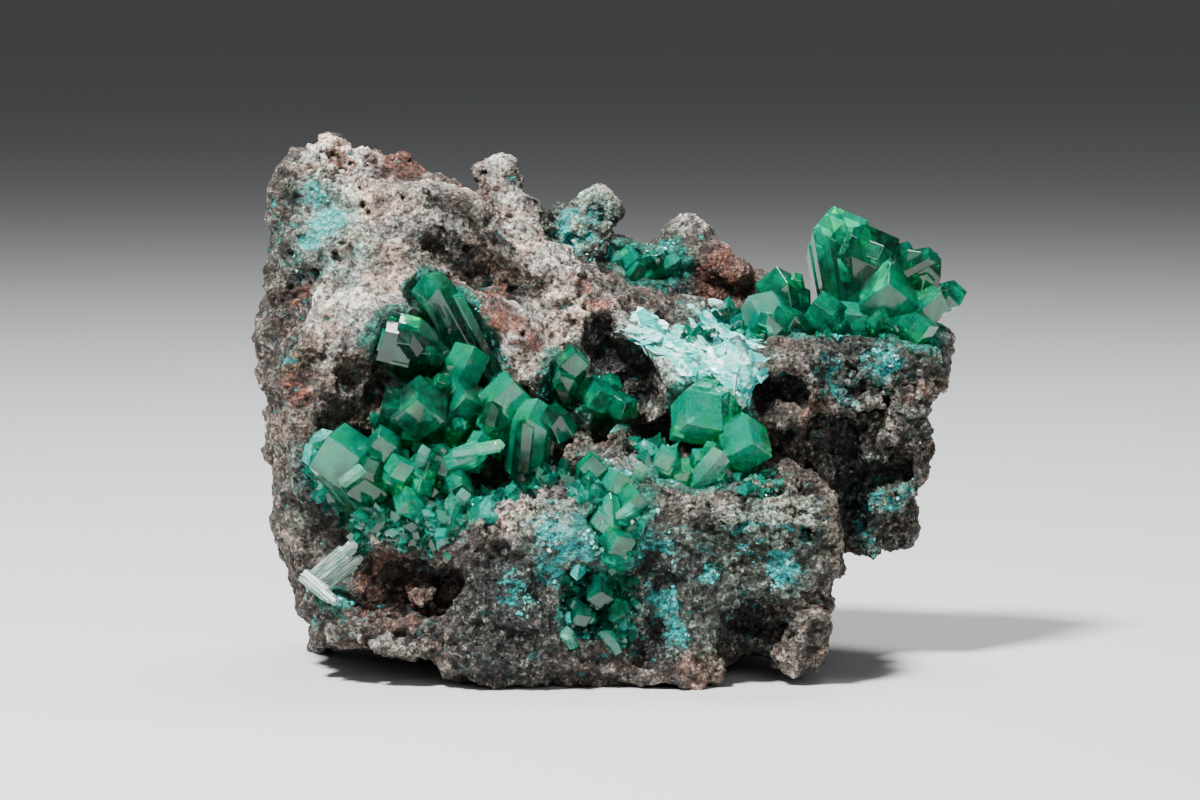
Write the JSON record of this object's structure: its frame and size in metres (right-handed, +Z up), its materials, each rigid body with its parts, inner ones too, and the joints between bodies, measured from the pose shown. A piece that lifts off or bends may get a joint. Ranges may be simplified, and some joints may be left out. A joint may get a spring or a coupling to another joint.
{
  "type": "dioptase mineral specimen",
  "caption": "Hand specimen of rugged brown-grey matrix rock with emerald-green six-sided dioptase crystals in its hollows and along its rim, standing on its own flat feet.",
  "frame": {"origin": "under the middle of the specimen's bounds, on the surface it rests on", "axes": "+Z up, +X to the right of the side with the crystals, which faces -Y"},
  "size_m": [0.0452, 0.0278, 0.0336],
  "materials": {
    "matrix_rock": "rough, granular and pitted, with turquoise and brick-red stains",
    "dioptase": "glassy translucent emerald green",
    "pale_dioptase": "silky pale grey-green, striated along its length"
  },
  "bodies": {
    "root": {"matrix": "matrix_rock", "rim_crystals": "dioptase", "shoulder_crystals": "dioptase", "hollow_crystals": "dioptase", "lath_crystals": "pale_dioptase", "chain_crystals": "dioptase", "vug_crystals": "dioptase", "cleft_crystals": "dioptase", "toe_crystals": "dioptase", "back_rim_crystals": "dioptase", "bowl_crystal": "dioptase"}
  },
  "joints": []
}
